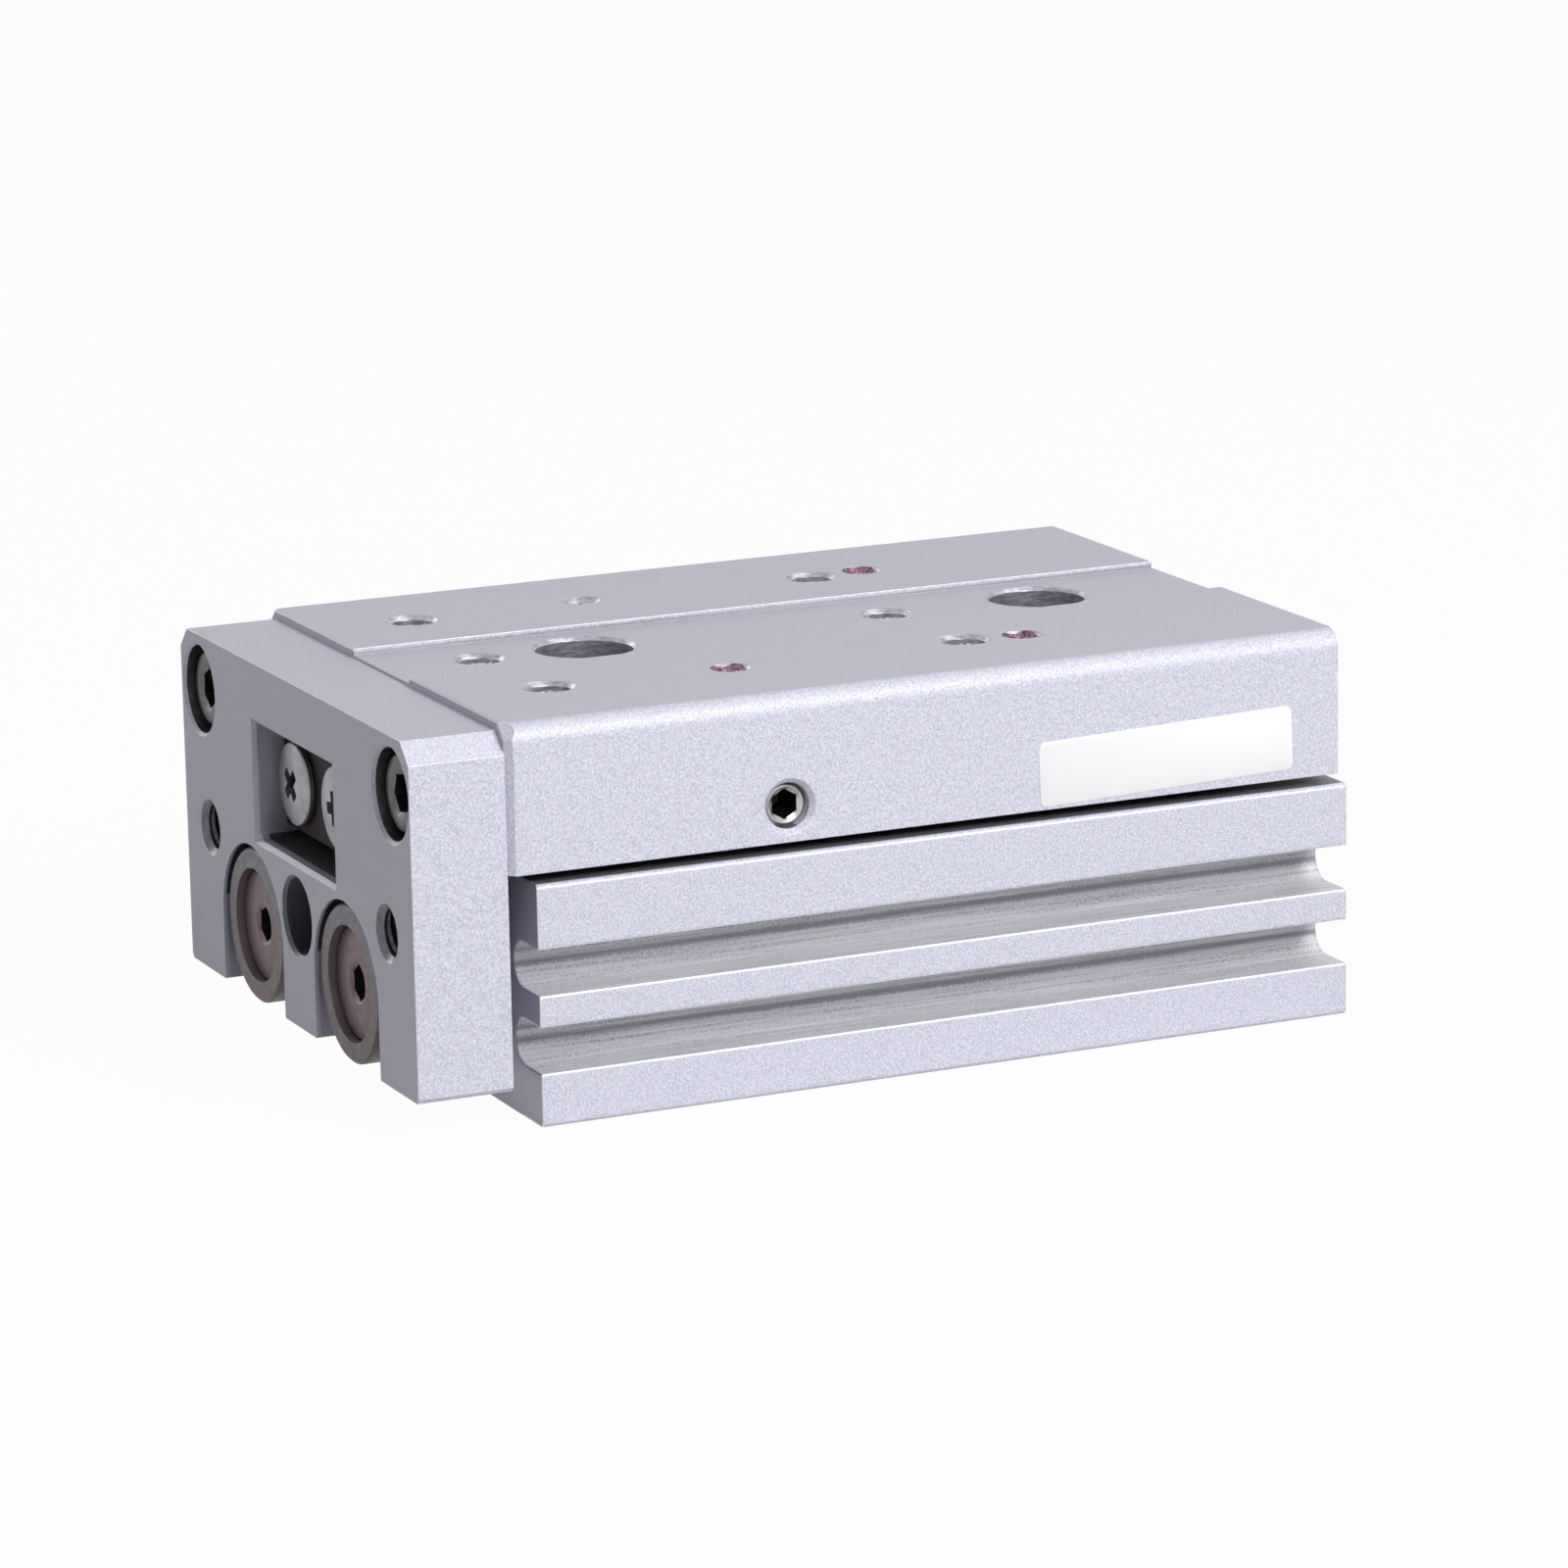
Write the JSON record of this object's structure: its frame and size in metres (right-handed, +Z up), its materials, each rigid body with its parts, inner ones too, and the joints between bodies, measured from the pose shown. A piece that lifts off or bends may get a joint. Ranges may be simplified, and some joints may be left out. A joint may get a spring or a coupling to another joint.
{
  "type": "pneumatic slide table",
  "caption": "Compact pneumatic slide table with twin parallel cylinders, end plate, tapped table and crossed-roller guide.",
  "frame": {"origin": "centre of the bounding box on the underside of the body, table pulled in", "axes": "+Z up through the table's top; +Y along the travel towards the rear head caps; the table extends towards -Y; +X towards the sensor slots"},
  "size_m": [0.0716, 0.111, 0.044],
  "materials": {
    "anodised_body": "clear anodised, fine blasted",
    "anodised_table": "clear anodised, fine blasted",
    "anodised_plate": "clear anodised, fine blasted",
    "ground_steel": "ground",
    "dark_screw": "dark plated",
    "zinc_screw": "zinc plated",
    "stop_plate": "blackened steel",
    "bush_steel": "turned",
    "bronze_screw": "bronze toned plating",
    "hard_chrome": "hard chrome",
    "cap_alloy": "machined",
    "nitrile": "moulded",
    "urethane": "moulded",
    "piston_alloy": "chromated",
    "magnet": "bonded magnet",
    "spring_steel": "oiled black",
    "cage_brass": "stamped",
    "roller_steel": "ground and lapped",
    "white_film": "blank label film"
  },
  "bodies": {
    "base": {"cylinder_body": "anodised_body", "guide_block": "ground_steel", "guide_block_screws": "dark_screw", "front_roller_stop": "stop_plate", "front_stop_screws": "zinc_screw", "rear_roller_stop": "stop_plate", "rear_stop_screws": "zinc_screw", "rod_covers": "cap_alloy", "rod_seals": "nitrile", "cover_o_rings": "nitrile", "front_snap_rings": "spring_steel", "head_caps": "cap_alloy", "cap_o_rings": "nitrile", "rear_snap_rings": "spring_steel", "front_bumpers": "urethane", "rear_bumpers": "urethane"},
    "table": {"table": "anodised_table", "end_plate": "anodised_plate", "end_plate_screws": "dark_screw", "left_rail": "ground_steel", "right_rail": "ground_steel", "rail_screws": "dark_screw", "preload_screw": "zinc_screw", "floating_bushes": "bush_steel", "bush_collars": "bush_steel", "rod_end_screws": "bronze_screw", "piston_rods": "hard_chrome", "pistons": "piston_alloy", "piston_seals": "nitrile", "piston_magnets": "magnet", "side_label": "white_film"},
    "left_cage": {"left_cage": "cage_brass", "left_rollers": "roller_steel"},
    "right_cage": {"right_cage": "cage_brass", "right_rollers": "roller_steel"}
  },
  "joints": [
    {"name": "table_slide", "type": "slide", "parent": "base", "child": "table", "axis": [0, -1, 0], "range_m": [0, 0.02]},
    {"name": "left_cage_slide", "type": "slide", "parent": "base", "child": "left_cage", "axis": [0, -1, 0], "range_m": [0, 0.01]},
    {"name": "right_cage_slide", "type": "slide", "parent": "base", "child": "right_cage", "axis": [0, -1, 0], "range_m": [0, 0.01]}
  ],
  "couplings": [
    {"joint": "left_cage_slide", "follows": "table_slide", "ratio": 0.5},
    {"joint": "right_cage_slide", "follows": "table_slide", "ratio": 0.5}
  ]
}
